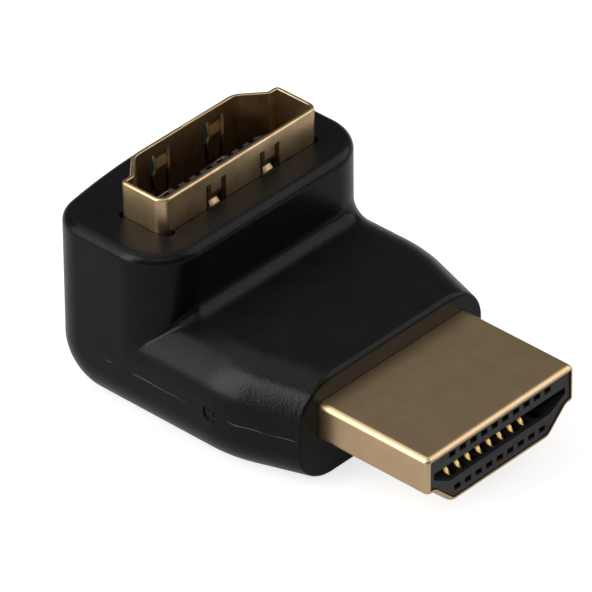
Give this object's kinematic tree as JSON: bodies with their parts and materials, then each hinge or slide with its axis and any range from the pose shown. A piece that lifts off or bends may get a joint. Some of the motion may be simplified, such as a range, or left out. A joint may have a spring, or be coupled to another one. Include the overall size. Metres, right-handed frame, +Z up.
{
  "type": "right angle hdmi adapter",
  "caption": "L-shaped adapter: a flat D-shaped plug and a matching socket at right angles, joined by a rounded elbow of moulded plastic.",
  "frame": {"origin": "on the flat base face, below the socket, in the middle plane of the plug", "axes": "+Z up along the socket's axis, out of its mouth; +X along the plug, out of its mouth; +Y across the width"},
  "size_m": [0.0302, 0.0204, 0.0157],
  "materials": {
    "black_plastic": "satin black moulded plastic",
    "grey_plastic": "matte dark grey moulded plastic",
    "gold_plate": "satin gold plated sheet",
    "contact_gold": "bright gold plated strip",
    "board_green": "green lacquered circuit board"
  },
  "bodies": {
    "root": {"housing": "black_plastic", "circuit_board": "board_green", "plug_shell": "gold_plate", "plug_insulator": "grey_plastic", "socket_shell": "gold_plate", "socket_insulator": "grey_plastic", "plug_contact_01": "contact_gold", "plug_contact_02": "contact_gold", "plug_contact_03": "contact_gold", "plug_contact_04": "contact_gold", "plug_contact_05": "contact_gold", "plug_contact_06": "contact_gold", "plug_contact_07": "contact_gold", "plug_contact_08": "contact_gold", "plug_contact_09": "contact_gold", "plug_contact_10": "contact_gold", "plug_contact_11": "contact_gold", "plug_contact_12": "contact_gold", "plug_contact_13": "contact_gold", "plug_contact_14": "contact_gold", "plug_contact_15": "contact_gold", "plug_contact_16": "contact_gold", "plug_contact_17": "contact_gold", "plug_contact_18": "contact_gold", "socket_contact_01": "contact_gold", "socket_contact_02": "contact_gold", "socket_contact_03": "contact_gold", "socket_contact_04": "contact_gold", "socket_contact_05": "contact_gold", "socket_contact_06": "contact_gold", "socket_contact_07": "contact_gold", "socket_contact_08": "contact_gold", "socket_contact_09": "contact_gold", "socket_contact_10": "contact_gold", "socket_contact_11": "contact_gold", "socket_contact_12": "contact_gold", "socket_contact_13": "contact_gold", "socket_contact_14": "contact_gold", "socket_contact_15": "contact_gold", "socket_contact_16": "contact_gold", "socket_contact_17": "contact_gold", "socket_contact_18": "contact_gold", "socket_contact_19": "contact_gold"}
  },
  "joints": []
}
